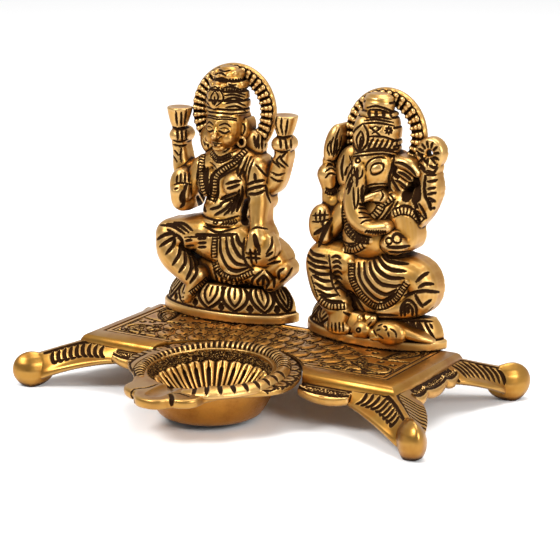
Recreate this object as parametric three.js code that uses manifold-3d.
// Oil lamp with a goddess and an elephant-headed god on one footed tray.
// Millimetres, +Z up, the lamp's front faces -Y. The origin is the middle of the footprint on the table.
import * as THREE from "three";
import { mergeVertices } from "three/addons/utils/BufferGeometryUtils.js";
import Module from "manifold-3d";

const wasm = await Module();
wasm.setup();

// Tray
const trayLength = 155.4;
const trayWidth = 61;
const trayTop = 22.9;
const plateThickness = 3;
const borderWidth = 6.8;
const borderDrop = 3.3;
const rimWall = 2.4;
const skirtTop = 19;
const skirtLow = 11.4;
const skirtCusp = 13.4;
const skirtLean = 3.9;
const skirtWall = 1.8;

// Legs and feet
const footAcross = 95;
const footAside = 45.9;
const footRadius = 8;
const footHalfWidth = 6;
const footSole = 0.6;
const legFrontReach = 22;
const legSideReach = 14.5;
const legWall = 2.2;
const legEndTop = 13.4;
const legEndLow = 4.6;
const legEndSpread = 5.2;
const legSag = 1.5;
const spineWidth = 3.2;

// Oil bowl, its heights measured from the table
const bowlX = -2.8;
const bowlY = -42.5;
const bowlTurn = -3;
const cupFootZ = 2;
const cupFootRadius = 18;
const cupRadius = 28.4;
const mouthRadius = 26.4;
const floorZ = 4.8;
const floorRadius = 13;
const fluteCount = 24;
const fluteDepth = 0.9;
const flangeTop = 20.9;
const flangeThickness = 4.2;
const flangeSlope = 0.055;
const flangeHalfWidth = 39.5;
const flangeBack = 35;
const waistHalfWidth = 17.5;
const waistForward = 31;
const sideLobeRadius = 6.4;
const tongueRadius = 8.2;
const tongueForward = 38.5;
const channelWidth = 8;
const channelDepth = 1.2;
const ringRadius = 3.4;
const ringArc = 216;

// Figures, their heights measured from the tray's top and their depths from the flat back
const figureBackY = 31;
const figureLean = 0.075;
const bandHeight = 4;
const petalCount = 7;
const goddessX = -38;
const goddessTurn = 2;
const goddessBase = { width: 68.6, depth: 17.6, height: 15, topWidth: 54, topDepth: 14.6 };
const godX = 36.5;
const godTurn = -4;
const godBase = { width: 70, depth: 18.4, height: 13, topWidth: 58, topDepth: 15.6 };

// Fasteners
const screwDiameter = 4;
const screwLength = 12;
const screwHeadDiameter = 7;
const screwHeadHeight = 2.6;
const slotWidth = 1;
const slotDepth = 1.1;
const washerDiameter = 9;
const washerThickness = 0.8;
const screwSpacing = 24;
const screwInset = 9;

// Fits
const seatGap = 0.3;
const slideFit = 0.35;
const holeRadius = screwDiameter / 2 + slideFit;

const castBrass = { color: 0xb98a3a, roughness: 0.38, metalness: 1 };
const rawBrass = { color: 0x8f6a34, roughness: 0.6, metalness: 1 };
const zincSteel = { color: 0xb9bcc0, roughness: 0.35, metalness: 1 };

// A closed three.js geometry as a solid that can be joined and cut.
function solid(geometry) {
  const bare = geometry.clone();
  bare.deleteAttribute("normal");
  bare.deleteAttribute("uv");
  const merged = mergeVertices(bare, 1e-4);
  return new wasm.Manifold(
    new wasm.Mesh({
      numProp: 3,
      vertProperties: new Float32Array(merged.attributes.position.array),
      triVerts: new Uint32Array(merged.index.array),
    }),
  );
}

function union(solids) {
  return solids.reduce((sum, next) => sum.add(next));
}

function namedMesh(name, body, finish) {
  const { vertProperties, triVerts } = body.getMesh();
  const geometry = new THREE.BufferGeometry();
  geometry.setAttribute("position", new THREE.BufferAttribute(vertProperties, 3));
  geometry.setIndex(new THREE.BufferAttribute(triVerts, 1));
  geometry.computeVertexNormals();
  const mesh = new THREE.Mesh(geometry, new THREE.MeshStandardMaterial(finish));
  mesh.name = name;
  return mesh;
}

// A block between two opposite corners.
function block(from, to) {
  const size = to.map((value, axis) => value - from[axis]);
  const middle = to.map((value, axis) => (value + from[axis]) / 2);
  return solid(new THREE.BoxGeometry(...size).translate(...middle));
}

// A cast form: a domed front whose outline runs straight back to the figure's flat back.
function boss(centre, radii, tilt = 0, around = 10) {
  const behind = (1 - centre[1]) / radii[1];
  const front = [[0, -1], [0.52, -0.85], [0.88, -0.47], [1, 0]];
  const section = [...front, [1, behind], [0, behind]];
  const profile = section.map(([reach, depth]) => new THREE.Vector2(reach, depth));
  const form = new THREE.LatheGeometry(profile, around);
  form.scale(...radii);
  form.rotateY(THREE.MathUtils.degToRad(tilt));
  return solid(form.translate(...centre));
}

// A small ellipsoid on a surface.
function bead(centre, radii, tilt = 0, around = 6) {
  const sphere = new THREE.SphereGeometry(1, around, Math.max(2, Math.round(around * 0.6)));
  sphere.rotateX(Math.PI / 2);
  sphere.scale(...radii);
  sphere.rotateY(THREE.MathUtils.degToRad(tilt));
  return solid(sphere.translate(...centre));
}

// A turned form standing on Z, from [radius, height] pairs that start and end on the axis.
function turned(profile, sides = 24) {
  const points = profile.map(([radius, height]) => new THREE.Vector2(radius, height));
  return solid(new THREE.LatheGeometry(points, sides).rotateX(Math.PI / 2));
}

function placed(body, centre, scale = [1, 1, 1], tilt = 0) {
  return body.scale(scale).rotate([0, tilt, 0]).translate(centre);
}

// A flat outline drawn in X and Z, standing between two depths.
function plate(shape, front, back, steps = 10) {
  const geometry = new THREE.ExtrudeGeometry(shape, {
    depth: back - front,
    bevelEnabled: false,
    curveSegments: steps,
  });
  return solid(geometry.rotateX(Math.PI / 2).translate(0, back, 0));
}

// A flat outline drawn in X and Y, standing between two heights that may slope along Y.
function slab(shape, low, high, slope = 0, steps = 10) {
  const geometry = new THREE.ExtrudeGeometry(shape, {
    depth: high - low,
    bevelEnabled: false,
    curveSegments: steps,
  });
  geometry.translate(0, 0, low);
  return solid(geometry.applyMatrix4(new THREE.Matrix4().makeShear(0, 0, 0, slope, 0, 0)));
}

// A closed skin over rings of points that all have the same count, capped at both ends.
function loft(rings) {
  const count = rings[0].length;
  const centres = [rings[0], rings.at(-1)].map((ring) =>
    ring.reduce((sum, corner) => sum.add(corner), new THREE.Vector3()).divideScalar(count),
  );
  const corners = [...rings.flat(), ...centres];
  const faces = [];
  for (let i = 1; i < rings.length; i++) {
    for (let j = 0; j < count; j++) {
      const next = (j + 1) % count;
      const below = (i - 1) * count;
      const above = i * count;
      faces.push(below + j, below + next, above + next);
      faces.push(below + j, above + next, above + j);
    }
  }
  const last = (rings.length - 1) * count;
  for (let j = 0; j < count; j++) {
    const next = (j + 1) % count;
    faces.push(corners.length - 2, next, j);
    faces.push(corners.length - 1, last + j, last + next);
  }
  const geometry = new THREE.BufferGeometry().setFromPoints(corners);
  geometry.setIndex(faces);
  const made = solid(geometry);
  if (made.volume() > 0) return made;
  geometry.setIndex(faces.toReversed());
  return solid(geometry);
}

// A cast limb swept through several points, each with its own radius, its rear running back to one depth.
// It is folded at sharp bends.
function limb(points, radii, rear = 1, sides = 7) {
  const joints = points.map((place) => new THREE.Vector3(...place));
  const fold = joints.findIndex((joint, i) => {
    if (i === 0 || i === joints.length - 1) return false;
    const before = joint.clone().sub(joints[i - 1]);
    const after = joints[i + 1].clone().sub(joint);
    return before.angleTo(after) > 1.2;
  });
  if (fold > 0) {
    const upper = limb(points.slice(0, fold + 1), radii.slice(0, fold + 1), rear, sides);
    return upper.add(limb(points.slice(fold), radii.slice(fold), rear, sides));
  }
  const heading = (i) => {
    const before = joints[Math.max(0, i - 1)];
    const after = joints[Math.min(joints.length - 1, i + 1)];
    return after.clone().sub(before).normalize();
  };
  const depth = new THREE.Vector3(0, -1, 0);
  const ring = (centre, direction, radius) => {
    const aside = new THREE.Vector3().crossVectors(direction, depth).normalize();
    const across = new THREE.Vector3().crossVectors(direction, aside);
    return Array.from({ length: sides }, (_, j) => {
      const turn = (2 * Math.PI * j) / sides;
      const corner = centre.clone().addScaledVector(aside, radius * Math.cos(turn));
      corner.addScaledVector(across, radius * Math.sin(turn));
      return corner.y > centre.y + 0.1 ? corner.setY(Math.max(rear, centre.y + radius * 0.6)) : corner;
    });
  };
  const endShare = 0.6;
  const endRing = (i, outwards) => {
    const reach = outwards * radii[i] * Math.sqrt(1 - endShare ** 2);
    const centre = joints[i].clone().addScaledVector(heading(i), reach);
    return ring(centre, heading(i), radii[i] * endShare);
  };
  const middle = joints.map((centre, i) => ring(centre, heading(i), radii[i]));
  return loft([endRing(0, -1), ...middle, endRing(joints.length - 1, 1)]);
}

const spot = (x, y, z) => new THREE.Vector3(x, y, z);
const mix = THREE.MathUtils.lerp;

// Tray plate with its rounded border, hollow below.
function trayPlate() {
  const stations = [0, 0.12, 0.3, 0.58, 1];
  const corner = (inset, z) => {
    const x = trayLength / 2 - inset;
    const y = trayWidth / 2 - inset;
    return [spot(x, y, z), spot(-x, y, z), spot(-x, -y, z), spot(x, -y, z)];
  };
  const border = stations.map((share) => {
    const arch = Math.sqrt(1 - (1 - share) ** 2);
    return corner(share * borderWidth, trayTop - borderDrop * (1 - arch));
  });
  const outside = loft([corner(0, skirtTop - skirtWall), ...border]);
  const reachX = trayLength / 2 - rimWall;
  const reachY = trayWidth / 2 - rimWall;
  return outside.subtract(block([-reachX, -reachY, 0], [reachX, reachY, trayTop - plateThickness]));
}

// One side of the hanging skirt: a row of scallops between its cusps, leaning outwards.
function skirtSide(length, cusps, turn, distance) {
  const outline = new THREE.Shape();
  outline.moveTo(-length / 2, skirtTop);
  outline.lineTo(-length / 2, skirtCusp);
  outline.lineTo(cusps[0], skirtCusp);
  for (let i = 1; i < cusps.length; i++) {
    const middle = (cusps[i] + cusps[i - 1]) / 2;
    outline.quadraticCurveTo(middle, 2 * skirtLow - skirtCusp, cusps[i], skirtCusp);
  }
  outline.lineTo(length / 2, skirtCusp);
  outline.lineTo(length / 2, skirtTop);
  const geometry = new THREE.ExtrudeGeometry(outline, {
    depth: skirtWall,
    bevelEnabled: false,
    curveSegments: 6,
  });
  geometry.rotateX(Math.PI / 2);
  geometry.translate(0, skirtWall, -skirtTop);
  const lean = skirtLean / (skirtTop - skirtLow);
  geometry.applyMatrix4(new THREE.Matrix4().makeShear(0, 0, 0, 0, 0, lean));
  geometry.translate(0, -distance, skirtTop);
  return solid(geometry.rotateZ(turn));
}

function skirt() {
  const sideEdge = trayWidth / 2 - legSideReach;
  const frontEdge = trayLength / 2 - legFrontReach;
  const middleLobe = 0.55 * sideEdge;
  const shortCusps = [-sideEdge, -middleLobe, middleLobe, sideEdge];
  const lobes = [-1, -0.6, -0.2, 0.2, 0.6, 1].map((share) => share * frontEdge);
  const frontLobe = [flangeHalfWidth - 1, frontEdge];
  const front = [-frontLobe[1], -frontLobe[0] + bowlX, frontLobe[0] + bowlX, frontLobe[1]];
  const halfLength = trayLength / 2;
  const halfWidth = trayWidth / 2;
  return union([
    skirtSide(trayLength, front, 0, halfWidth),
    skirtSide(trayLength, lobes, Math.PI, halfWidth),
    skirtSide(trayWidth, shortCusps, Math.PI / 2, halfLength),
    skirtSide(trayWidth, shortCusps, -Math.PI / 2, halfLength),
  ]);
}

// One cast leg: two flaring walls that meet under a narrow spine, and a lens-shaped foot.
function leg(signX, signY) {
  const corner = spot(trayLength / 2 - 1, trayWidth / 2 - 1, skirtTop + 0.3);
  const foot = spot(footAcross, footAside, footRadius - footSole);
  const along = spot(foot.x - corner.x, foot.y - corner.y, 0).normalize();
  const across = spot(-along.y, along.x, 0);
  const spineEnd = foot.clone().addScaledVector(along, -0.72 * footRadius).setZ(legEndTop);
  const signed = (v) => spot(v.x * signX, v.y * signY, v.z);

  const wall = (side, start, drop) => {
    const spineTop = corner.clone().addScaledVector(across, (side * spineWidth) / 2);
    const spineLow = spineEnd.clone().addScaledVector(across, (side * spineWidth) / 2.4);
    const edgeLow = start.clone().add(drop);
    const footLow = spineEnd.clone().addScaledVector(across, side * legEndSpread).setZ(legEndLow);
    const sag = edgeLow.clone().lerp(footLow, 0.5);
    sag.z += legSag;
    const low = new THREE.QuadraticBezierCurve3(edgeLow, sag, footLow);
    const inward = across.clone().multiplyScalar(-side * legWall * 0.75);
    inward.z = -legWall * 0.6;
    const rings = [0, 0.22, 0.45, 0.72, 1].map((share) => {
      const top = share < 0.45
        ? start.clone().lerp(spineTop, share / 0.45)
        : spineTop.clone().lerp(spineLow, (share - 0.45) / 0.55);
      const bottom = low.getPoint(share);
      return [top, bottom, bottom.clone().add(inward), top.clone().add(inward)].map(signed);
    });
    return loft(rings);
  };
  const frontStart = spot(corner.x - legFrontReach, corner.y, skirtTop);
  const frontDrop = spot(2, skirtLean - 0.4, skirtCusp - skirtTop - 0.6);
  const sideStart = spot(corner.x, corner.y - legSideReach, skirtTop);
  const sideDrop = spot(skirtLean - 0.4, 1, skirtCusp - skirtTop - 0.6);

  const spineRing = (centre, half) => {
    const left = centre.clone().addScaledVector(across, half);
    const right = centre.clone().addScaledVector(across, -half);
    const under = spot(0, 0, -legWall);
    return [left, right, right.clone().add(under), left.clone().add(under)].map(signed);
  };
  const spineStart = corner.clone().addScaledVector(along, -2.5);
  const spineTip = foot.clone().addScaledVector(along, -0.3 * footRadius).setZ(legEndTop - 0.8);
  const spine = loft([
    spineRing(spineStart, spineWidth / 2),
    spineRing(corner, spineWidth / 2),
    spineRing(spineTip, 1.4),
  ]);

  const lens = [[0, -1], [0.55, -0.96], [0.86, -0.62], [1, 0], [0.86, 0.62], [0.55, 0.96], [0, 1]];
  const profile = lens.map(([reach, side]) => new THREE.Vector2(reach * footRadius, side * footHalfWidth));
  const footSolid = new THREE.LatheGeometry(profile, 14);
  footSolid.rotateZ(Math.atan2(along.y * signY * signX, along.x));
  footSolid.translate(foot.x * signX, foot.y * signY, foot.z);
  const sole = block([-trayLength, -trayLength, -footRadius], [trayLength, trayLength, 0]);
  const walls = [wall(1, frontStart, frontDrop), wall(-1, sideStart, sideDrop)];
  return union([...walls, spine, solid(footSolid)]).subtract(sole);
}

// The bowl's leaf outline from above, about the cup's axis, grown or shrunk by one distance.
function leaf(grow = 0) {
  const outline = new THREE.Shape();
  const wide = flangeHalfWidth + grow;
  const back = flangeBack + grow;
  const waist = waistHalfWidth + grow;
  const lobe = sideLobeRadius + grow;
  const tongue = tongueRadius + grow;
  const lobeX = waistHalfWidth - sideLobeRadius;
  outline.moveTo(wide, 0);
  outline.absellipse(0, 0, wide, back, 0, Math.PI, false);
  outline.bezierCurveTo(-wide, -12, -waist - 8, -14 - grow, -waist, -waistForward);
  outline.absarc(-lobeX, -waistForward - 2, lobe, Math.PI, 1.55 * Math.PI, false);
  outline.absarc(0, -tongueForward + 1, tongue, 1.18 * Math.PI, 1.82 * Math.PI, false);
  outline.absarc(lobeX, -waistForward - 2, lobe, 1.45 * Math.PI, 2 * Math.PI, false);
  outline.bezierCurveTo(waist + 8, -14 - grow, wide, -12, wide, 0);
  return outline;
}

const flangeLow = flangeTop - flangeThickness;

const bowlPlaced = (body) => body.rotate([0, 0, bowlTurn]).translate([bowlX, bowlY, 0]);

// The fluted hollow of the bowl, from its floor to above its mouth.
function bowlHollow() {
  const pointsPerFlute = 2;
  const around = fluteCount * pointsPerFlute;
  const stations = [0, 0.15, 0.42, 0.74, 0.88, 1.5];
  const deep = flangeTop - floorZ;
  return loft(
    stations.map((share) => {
      const bend = Math.min(1, share) ** 0.55;
      const plain = mix(floorRadius, mouthRadius, bend);
      const fluted = share > 0.1 && share < 0.8 ? fluteDepth : 0;
      return Array.from({ length: around }, (_, i) => {
        const angle = (2 * Math.PI * i) / around;
        const radius = plain - (i % pointsPerFlute === 0 ? fluted : 0);
        return spot(radius * Math.cos(angle), radius * Math.sin(angle), floorZ + share * deep);
      });
    }),
  );
}

// Raised ribbed ring round the back and sides of the bowl's mouth.
function mouthRing() {
  const start = (270 - ringArc / 2 - 180) * (Math.PI / 180);
  const middle = mouthRadius + ringRadius;
  const steps = 24;
  const sides = 6;
  const rings = Array.from({ length: steps + 1 }, (_, i) => {
    const share = i / steps;
    const angle = start + share * ringArc * (Math.PI / 180);
    const swell = ringRadius * Math.min(1, 0.35 + 3 * Math.min(share, 1 - share));
    return Array.from({ length: sides }, (_, j) => {
      const turn = (2 * Math.PI * j) / sides;
      const radius = middle + swell * Math.cos(turn);
      const y = radius * Math.sin(angle);
      const height = flangeTop + flangeSlope * y - 0.8 + 0.95 * swell * Math.sin(turn);
      return spot(radius * Math.cos(angle), y, height);
    });
  });
  return loft(rings);
}

function oilBowl() {
  const cup = turned([
    [0, cupFootZ],
    [cupFootRadius, cupFootZ],
    [mix(cupFootRadius, cupRadius, 0.42), mix(cupFootZ, flangeLow, 0.2)],
    [mix(cupFootRadius, cupRadius, 0.8), mix(cupFootZ, flangeLow, 0.58)],
    [cupRadius, flangeLow],
    [cupRadius - 0.6, flangeTop - 2],
    [0, flangeTop - 2],
  ], 36);
  const flange = slab(leaf(), flangeLow, flangeTop, flangeSlope, 8);
  const channel = new THREE.Shape();
  const half = channelWidth / 2;
  channel.moveTo(half, -mouthRadius + 4);
  channel.lineTo(-half, -mouthRadius + 4);
  channel.lineTo(-half, -tongueForward);
  channel.absarc(0, -tongueForward, half, Math.PI, 2 * Math.PI, false);
  const groove = slab(channel, flangeTop - channelDepth, flangeTop + 3, flangeSlope, 6);
  return bowlPlaced(union([cup, flange, mouthRing()]).subtract(bowlHollow()).subtract(groove));
}

// A lotus base: a plain band, a bulging ring of petals above it, and a flat top.
function lotusBase({ width, depth, height, topWidth, topDepth }) {
  const half = width / 2;
  const share = topWidth / width;
  const profile = [
    [0, 0],
    [half, 0],
    [half, bandHeight],
    [half - 1.6, bandHeight + 0.6],
    [mix(half, half * share, 0.35), mix(bandHeight, height, 0.55)],
    [half * share, height],
    [0, height],
  ];
  const body = turned(profile, 24).scale([1, depth / half, 1]);
  const petals = Array.from({ length: petalCount }, (_, i) => {
    const angle = mix(-1.25, 1.25, i / (petalCount - 1));
    const reach = mix(1, share, 0.42);
    const x = half * reach * Math.sin(angle);
    const y = -mix(depth, topDepth, 0.42) * Math.cos(angle);
    const radii = [width / 14, 1.9, (height - bandHeight) * 0.5];
    return bead([x, y, mix(bandHeight, height, 0.44)], radii);
  });
  return union([body, ...petals]);
}

// A horseshoe halo on the flat back: a raised outer rim round a lower web with a row of petals.
function halo({ x, z, radius, ringWidth, depth, petals, opening }) {
  const start = ((opening / 2 - 90) * Math.PI) / 180;
  const end = ((270 - opening / 2) * Math.PI) / 180;
  const inner = radius - ringWidth;
  const web = 0.7 * depth;
  const step = radius - 0.4 * ringWidth;
  const section = [
    [inner, 1],
    [inner, 0.6 - web],
    [inner + 0.6, -web],
    [step, -web],
    [step + 0.3, -depth],
    [radius - 1.2, -depth],
    [radius, 1.4 - depth],
    [radius, 1],
  ];
  const steps = 16;
  const rings = Array.from({ length: steps + 1 }, (_, i) => {
    const angle = mix(start, end, i / steps);
    return section.map(([reach, y]) => spot(x + reach * Math.cos(angle), y, z + reach * Math.sin(angle)));
  });
  const row = Array.from({ length: petals }, (_, i) => {
    const angle = mix(start, end, (i + 0.5) / petals);
    const reach = (inner + step) / 2;
    const place = [x + reach * Math.cos(angle), -web, z + reach * Math.sin(angle)];
    return bead(place, [0.27 * ringWidth, 1.3, 1.6], -THREE.MathUtils.radToDeg(angle), 4);
  });
  return union([loft(rings), ...row]);
}

// Everything behind the flat back goes, then the figure leans back and takes its place on the tray.
function seated(parts, x, turn) {
  const deep = screwLength - plateThickness + 1;
  const hole = turned([[0, -1], [holeRadius, -1], [holeRadius, deep], [0, deep]], 12);
  const holes = [-1, 1].map((side) => hole.translate([(side * screwSpacing) / 2, -screwInset, 0]));
  const carved = union(parts).subtract(block([-60, 0, -5], [60, 40, 140]));
  const leaning = carved.transform([1, 0, 0, 0, 0, 1, 0, 0, 0, figureLean, 1, 0, 0, 0, 0, 1]);
  const drilled = leaning.subtract(union(holes));
  return drilled.rotate([0, 0, turn]).translate([x, figureBackY, trayTop + seatGap]);
}

function goddessFigure() {
  const seat = goddessBase.height;
  const up = (x, y, z) => [x, y, seat + z];
  const parts = [lotusBase(goddessBase)];
  const haloAt = { x: -1.3, z: seat + 76, radius: 20.7 };
  parts.push(halo({ ...haloAt, ringWidth: 7.2, depth: 6, petals: 22, opening: 96 }));

  const lowTiers = [[10.6, -2], [11, 1.5], [10.2, 2.4], [10.4, 6]];
  const highTiers = [[9, 7], [9.2, 10.5], [6.6, 11.6], [6.2, 14.2], [3, 16.2]];
  const crown = turned([[0, -2], ...lowTiers, ...highTiers, [0, 16.6]], 14);
  parts.push(placed(crown, up(-1.3, -7.2, 79), [1, 0.82, 1]));
  parts.push(boss(up(-1.6, -15, 84), [3.6, 1.8, 5.2]));
  parts.push(boss(up(-1.5, -9.8, 70.5), [8.8, 8.2, 10.6], 0, 10));
  parts.push(boss(up(7.4, -6.6, 70), [2.2, 2.4, 4.8]), boss(up(-10.4, -6.6, 70), [2.2, 2.4, 4.8]));
  parts.push(boss(up(9, -4, 61.5), [6, 2.6, 7]), boss(up(-11.4, -4, 62.5), [5.4, 2.6, 7]));
  parts.push(limb([up(-1.5, -8.5, 62), up(-1, -8, 54)], [5, 6.4]));

  parts.push(boss(up(0.5, -7.5, 46), [13.8, 8, 11.5], 0, 10));
  parts.push(boss(up(-7, -12.5, 45), [5.2, 4.4, 5.4]), boss(up(6.4, -12.5, 46), [5.2, 4.4, 5.4]));
  parts.push(boss(up(-1.2, -8, 31), [10.6, 6.8, 9]));
  const belt = turned([[0, -2.2], [11.6, -2.2], [12, 0], [11.6, 2.2], [0, 2.2]], 12);
  parts.push(placed(belt, up(-1, -7.6, 28.6), [1, 0.66, 1]));
  parts.push(boss(up(0, -9, 19), [19, 8.6, 10], 0, 10), boss(up(4, -6, 5), [19, 4, 9]));

  const rearLeft = [up(-12, -5, 52), up(-23.5, -5, 47), up(-26.4, -5.5, 56), up(-27, -6, 62.5)];
  const rearRight = [up(13.5, -4.5, 53), up(20.4, -4.5, 46), up(25, -4.8, 57), up(25.4, -5.4, 63.5)];
  parts.push(limb(rearLeft, [4.6, 4.8, 3.6, 4.6]), limb(rearRight, [4.8, 5, 3.9, 5]));
  const bud = turned([[0, 0], [3.2, 0], [4.6, 3.4], [5.9, 8.4], [5.2, 9.6], [0, 9.6]], 10);
  parts.push(bud.translate(up(-27.2, -6, 66.4)), bud.translate(up(26.2, -5.4, 67.4)));

  const frontLeft = [up(-13, -7.5, 51), up(-20.2, -9.5, 38), up(-21, -12, 42)];
  parts.push(limb(frontLeft, [5, 4.6, 4.4]), boss(up(-21.2, -13, 42.6), [5.4, 3.4, 8.2]));
  const frontRight = [up(14, -7.5, 53), up(16.6, -9, 38), up(18.2, -11.6, 29), up(20.2, -13.6, 23)];
  parts.push(limb(frontRight, [5.4, 4.4, 3.5, 5], -4), boss(up(20.8, -14, 18), [7.2, 3.4, 7.6]));

  const leftLeg = [up(-9, -9, 22), up(-27.8, -10, 19.2), up(-26, -11.5, 13), up(-13.4, -14, 2)];
  parts.push(limb(leftLeg, [8.5, 7, 7.2, 4.6]));
  parts.push(limb([up(-9, -15, 3.6), up(-14.4, -16.2, -7)], [3.8, 2.8]));
  parts.push(limb([up(8, -9, 20), up(25.4, -8, 12), up(8, -12.5, 7)], [9, 6.4, 6]));
  parts.push(boss(up(9, -13, 14), [11.5, 5.2, 9.6]), boss(up(20, -12.6, 7.6), [6.4, 3.6, 5.2]));
  return seated(parts, goddessX, goddessTurn);
}

function godFigure() {
  const seat = godBase.height;
  const up = (x, y, z) => [x, y, seat + z];
  const parts = [lotusBase(godBase)];
  const haloAt = { x: 0.2, z: seat + 75, radius: 19.9 };
  parts.push(halo({ ...haloAt, ringWidth: 7, depth: 6, petals: 20, opening: 96 }));

  const lowTiers = [[11, -3], [11.2, 0.5], [10.2, 1.4], [10.8, 7.5]];
  const highTiers = [[8.6, 11], [8.8, 12.6], [6.6, 13.2], [6.4, 18], [3.4, 20.4]];
  const crown = turned([[0, -3], ...lowTiers, ...highTiers, [0, 20.8]], 14);
  parts.push(placed(crown, up(-0.8, -7.4, 72.6), [1, 0.82, 1]));
  parts.push(boss(up(-3.4, -15, 76), [3.8, 2, 6.4]));
  parts.push(boss(up(-1, -9.4, 62.5), [10.4, 7.8, 11.4], 0, 10));
  parts.push(boss(up(14.6, -7.4, 60), [7.4, 3, 10], -14), boss(up(-14.4, -7.4, 60), [6.4, 3, 9.4], 12));
  const trunkHanging = [up(-4.4, -14, 62), up(-4.8, -17, 54), up(-4.4, -18, 47)];
  const trunkCurled = [up(-1.6, -18.6, 41.4), up(4, -18.4, 38.6), up(11.4, -17, 39.6)];
  parts.push(limb([...trunkHanging, ...trunkCurled], [5.2, 4.4, 4, 3.6, 3.2, 2.6]));
  parts.push(limb([up(4.6, -14, 53), up(-0.2, -17.6, 49.8)], [2.4, 1.3]));

  parts.push(boss(up(0, -7.8, 43), [17, 8, 12.4], 0, 10));
  parts.push(boss(up(0.4, -10.8, 32.5), [13.6, 8, 10], 0, 10));
  parts.push(boss(up(0, -8.6, 16), [20, 9, 11], 0, 10), boss(up(2.5, -7, 4), [22.5, 5, 9]));

  const rearLeft = [up(-13, -6, 47), up(-21.5, -7, 44), up(-23.4, -7.6, 50), up(-24.4, -8, 57)];
  parts.push(limb(rearLeft, [4.8, 4.6, 3.6, 4.6]), boss(up(-22.6, -8, 68.8), [3.7, 4, 9.2], 12));
  const rearRight = [up(14.5, -5, 45), up(24, -4, 53), up(23.6, -4.4, 62)];
  parts.push(limb(rearRight, [5.6, 5.4, 4.4]));
  const disc = new THREE.Shape();
  disc.absarc(23, seat + 69.6, 6.7, 0, 2 * Math.PI, false);
  const eye = new THREE.Path();
  eye.absarc(23, seat + 69.6, 1.6, 0, 2 * Math.PI, true);
  disc.holes.push(eye);
  parts.push(plate(disc, -6, 1, 12));

  const frontLeft = [up(-14, -8, 42), up(-22.4, -10, 31), up(-23.6, -12, 33)];
  parts.push(limb(frontLeft, [5.2, 4.8, 4.6]), boss(up(-24, -13, 35.2), [5.8, 3.4, 8.4]));
  const frontRight = [up(14.6, -8.6, 44), up(16.8, -8.8, 33.4), up(14, -14, 33.6)];
  parts.push(limb(frontRight, [6.2, 5.2, 4.4]), boss(up(14.8, -15.4, 32), [6, 3.8, 4.4]));

  const leftLeg = [up(-9, -9, 20), up(-23.8, -10, 19), up(-20.5, -12.5, 9), up(-11, -14.6, 2)];
  parts.push(limb(leftLeg, [8.6, 7.4, 8, 6]));
  parts.push(limb([up(-10, -15, 0), up(-9.8, -17, -6)], [5.4, 4]));
  parts.push(boss(up(-9.7, -17.6, -7), [6.8, 3.2, 3.2]));
  const rightLeg = [up(10, -9, 19), up(23.6, -7.4, 17), up(24.4, -7.4, 8.4), up(12, -13, 3)];
  parts.push(limb(rightLeg, [9, 7.6, 6.8, 4.6]));
  parts.push(boss(up(8.6, -12.6, 14), [14, 6.6, 11.4], 0, 10));

  parts.push(boss(up(11, -16.6, -5), [6.6, 3.4, 4.2]), boss(up(2, -17.4, -5.8), [3.8, 3, 3.2]));
  parts.push(limb([up(15, -16.2, -6), up(23, -14.6, -8.2), up(30, -11.4, -8.6)], [1.8, 1.4, 1], 7));
  return seated(parts, godX, godTurn);
}

const screwSeat = trayTop - plateThickness;

// Places one fastener under a figure, from the screw's own axis.
function underFigure(body, figureX, turn, side) {
  return body
    .translate([(side * screwSpacing) / 2, -screwInset, 0])
    .rotate([0, 0, turn])
    .translate([figureX, figureBackY, screwSeat]);
}

function washer() {
  const top = -seatGap;
  const low = top - washerThickness;
  const outer = washerDiameter / 2;
  const profile = [[holeRadius, low], [outer, low], [outer, top], [holeRadius, top], [holeRadius, low]];
  return turned(profile, 14);
}

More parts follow.
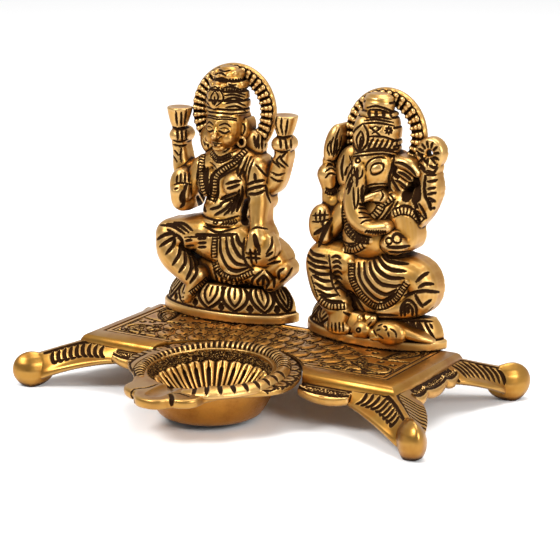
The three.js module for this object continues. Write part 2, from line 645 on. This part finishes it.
function screw() {
  const shank = screwDiameter / 2;
  const headTop = -2 * seatGap - washerThickness;
  const headLow = headTop - screwHeadHeight;
  const head = screwHeadDiameter / 2;
  const tip = headTop + screwLength;
  const domed = [[0, headLow], [head * 0.7, headLow], [head, headLow + 0.9], [head, headTop]];
  const shaft = [[shank, headTop], [shank, tip - 0.6], [shank - 0.6, tip], [0, tip]];
  const half = slotWidth / 2;
  const slot = block([-head - 1, -half, headLow - 1], [head + 1, half, headLow + slotDepth]);
  return turned([...domed, ...shaft], 12).subtract(slot);
}

const fastenings = [
  { figure: "goddess", x: goddessX, turn: goddessTurn },
  { figure: "god", x: godX, turn: godTurn },
].flatMap((place) => [-1, 1].map((side) => ({ ...place, side, hand: side < 0 ? "left" : "right" })));

function tray() {
  const legs = [-1, 1].flatMap((signX) => [-1, 1].map((signY) => leg(signX, signY)));
  const ledge = flangeLow - seatGap;
  const bayWall = slab(leaf(slideFit + 2), ledge - 1.6, flangeTop - 1.2, flangeSlope, 8);
  const halfWidth = trayWidth / 2;
  const bayReach = block([-trayLength, 0.4 - halfWidth, 0], [trayLength, halfWidth, trayTop - 0.5]);
  const body = union([trayPlate(), skirt(), ...legs, bowlPlaced(bayWall).intersect(bayReach)]);
  const bay = slab(leaf(slideFit), ledge, trayTop + 5, flangeSlope, 8);
  const hole = slab(leaf(-3), 0, trayTop + 5, flangeSlope, 8);
  const screwHole = turned([[0, -9], [holeRadius, -9], [holeRadius, 9], [0, 9]], 12);
  const holes = fastenings.map(({ x, turn, side }) => underFigure(screwHole, x, turn, side));
  return body.subtract(bowlPlaced(bay.add(hole))).subtract(union(holes));
}

const lamp = new THREE.Group();
lamp.add(namedMesh("tray", tray(), castBrass));
lamp.add(namedMesh("oil_bowl", oilBowl(), rawBrass));
lamp.add(namedMesh("goddess_figure", goddessFigure(), castBrass));
lamp.add(namedMesh("elephant_god_figure", godFigure(), castBrass));
for (const { figure, x, turn, side, hand } of fastenings) {
  lamp.add(namedMesh(`${figure}_washer_${hand}`, underFigure(washer(), x, turn, side), zincSteel));
  lamp.add(namedMesh(`${figure}_screw_${hand}`, underFigure(screw(), x, turn, side), zincSteel));
}

const footprint = new THREE.Box3().setFromObject(lamp, true);
const middle = footprint.getCenter(new THREE.Vector3());
lamp.position.set(-middle.x, -middle.y, -footprint.min.z);

export default lamp;
